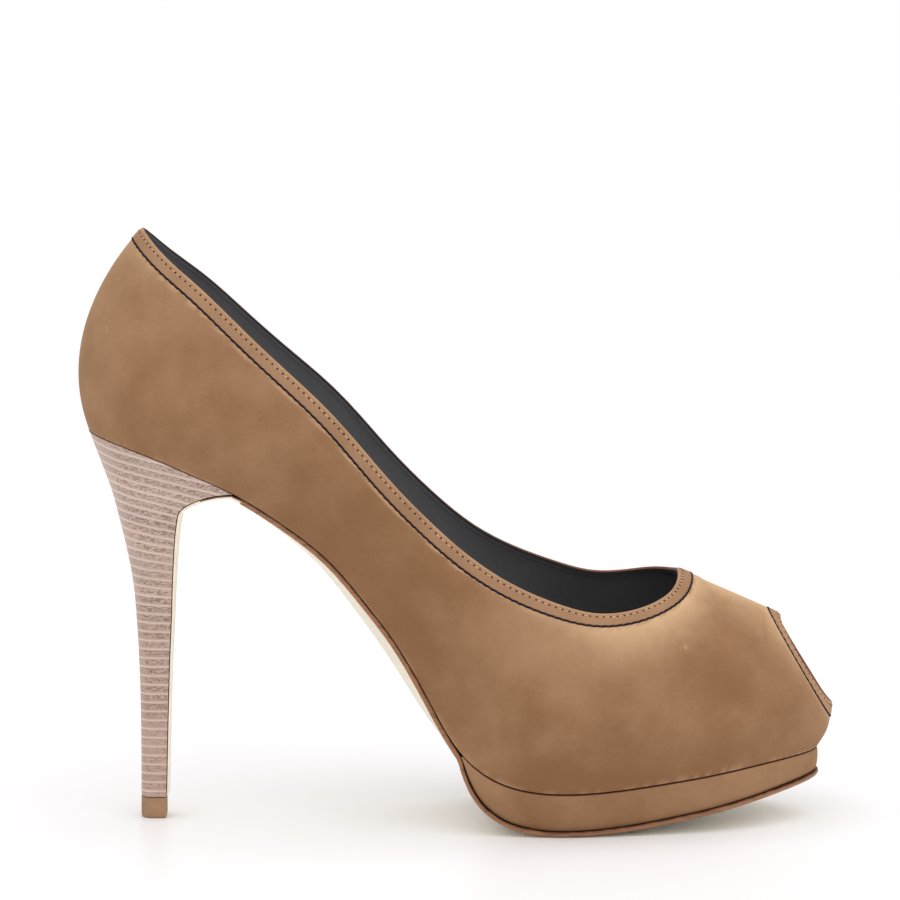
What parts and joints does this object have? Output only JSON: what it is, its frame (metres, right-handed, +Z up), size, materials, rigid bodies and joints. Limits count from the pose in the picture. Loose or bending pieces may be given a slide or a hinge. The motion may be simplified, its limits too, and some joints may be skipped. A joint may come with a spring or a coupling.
{
  "type": "peep toe pump",
  "caption": "Right peep toe pump with a tall slim stacked heel, a covered platform and a piped, bound collar and toe opening.",
  "frame": {"origin": "centre of the top lift's flat face, where the heel meets the floor", "axes": "+X towards the toe, +Y towards the inner side of the foot, +Z up"},
  "size_m": [0.2256, 0.0832, 0.1772],
  "materials": {
    "nubuck": "matt",
    "nubuck_edge": "matt",
    "piping_cord": "matt",
    "lining_leather": "satin",
    "sole_leather": "satin",
    "stacked_leather": "satin",
    "lift_rubber": "matt"
  },
  "bodies": {
    "root": {"upper": "nubuck", "collar_binding": "nubuck_edge", "toe_binding": "nubuck_edge", "collar_piping": "piping_cord", "toe_piping": "piping_cord", "insole": "lining_leather", "platform": "nubuck", "outsole": "sole_leather", "heel": "stacked_leather", "top_lift": "lift_rubber"}
  },
  "joints": []
}
